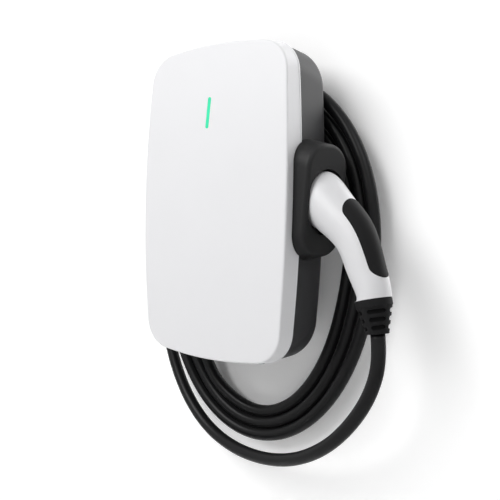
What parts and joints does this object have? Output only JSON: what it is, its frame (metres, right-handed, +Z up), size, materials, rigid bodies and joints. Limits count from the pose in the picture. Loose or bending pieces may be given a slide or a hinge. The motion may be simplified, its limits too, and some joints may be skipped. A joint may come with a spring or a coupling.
{
  "type": "ev wallbox",
  "caption": "Wall-mounted car charging box with bowed white cover, light bar, side holster holding a pistol plug, and its cable coiled on a hub behind the housing.",
  "frame": {"origin": "centre of the wall plate's four holes, on the wall", "axes": "+X to the right seen from the front, +Y into the wall, +Z up"},
  "size_m": [0.4237, 0.123, 0.5279],
  "materials": {
    "white_plastic": "satin white polycarbonate",
    "dark_plastic": "dark grey fine-textured plastic",
    "black_plastic": "black matt plastic",
    "soft_black": "soft black rubber",
    "cable_jacket": "black satin cable jacket",
    "light_lens": "lit green diffuser",
    "steel": "zinc plated steel",
    "plate_paint": "dark powder coat",
    "board_green": "solder mask",
    "relay_black": "moulded relay case",
    "shield_tin": "tinned shield",
    "terminal_grey": "grey terminal plastic",
    "contact_metal": "silvered contact sleeves"
  },
  "bodies": {
    "box": {"front_cover": "white_plastic", "cover_seal": "soft_black", "light_bar": "light_lens", "led_board": "board_green", "rear_housing": "dark_plastic", "cable_hub": "dark_plastic", "wall_plate": "plate_paint", "plate_screws": "steel", "housing_screws": "steel", "cover_screws": "steel", "holster": "black_plastic", "holster_screws": "steel", "cable_gland": "black_plastic", "gland_nut": "black_plastic", "supply_grommet": "soft_black", "main_board": "board_green", "board_screws": "steel", "power_relays": "relay_black", "current_sensor": "relay_black", "radio_shield": "shield_tin", "supply_terminals": "terminal_grey", "cable_lead": "cable_jacket", "cable_coil": "cable_jacket", "cable_tail": "cable_jacket"},
    "plug": {"plug_shell": "white_plastic", "plug_grip": "soft_black", "plug_nose": "black_plastic", "plug_contacts": "contact_metal", "strain_relief": "soft_black"}
  },
  "joints": [
    {"name": "plug_slide", "type": "slide", "parent": "box", "child": "plug", "axis": [0.9811, -0.173, -0.0872], "range_m": [0, 0.05], "deforming": ["cable_tail"]}
  ]
}
